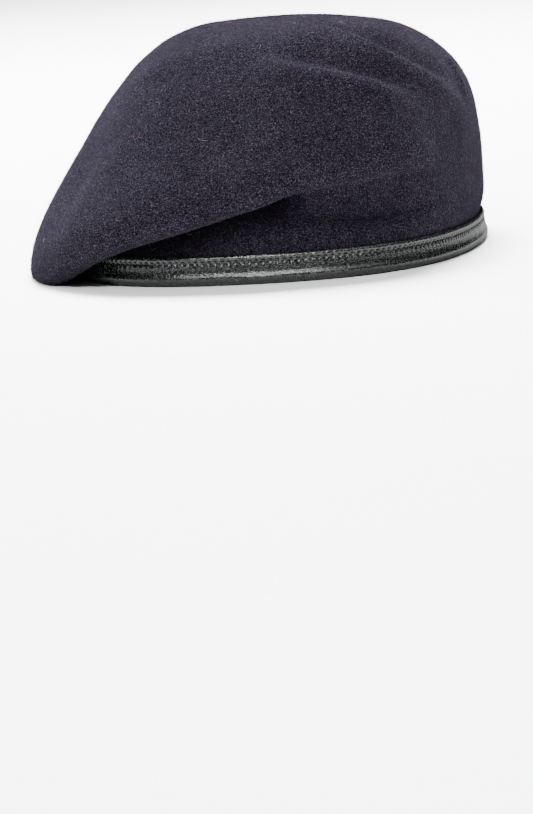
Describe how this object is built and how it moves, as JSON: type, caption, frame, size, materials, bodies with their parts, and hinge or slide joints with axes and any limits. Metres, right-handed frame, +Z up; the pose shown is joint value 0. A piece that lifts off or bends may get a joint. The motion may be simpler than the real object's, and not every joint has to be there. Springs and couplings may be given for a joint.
{
  "type": "military beret",
  "caption": "Wool felt beret in its worn shape: moulded crown pulled down to the wearer's right over a stitched leather band, open for the head.",
  "frame": {"origin": "middle of the bounding box's underside, level with the underside of the leather band", "axes": "+X to the wearer's left, -Y to the front of the head, +Z up; the crown hangs down towards -X"},
  "size_m": [0.1922, 0.2404, 0.1],
  "materials": {
    "felt": "dark navy wool felt with a short fuzzy nap",
    "leather": "black, fine grain, half gloss"
  },
  "bodies": {
    "root": {"crown": "felt", "band": "leather"}
  },
  "joints": []
}
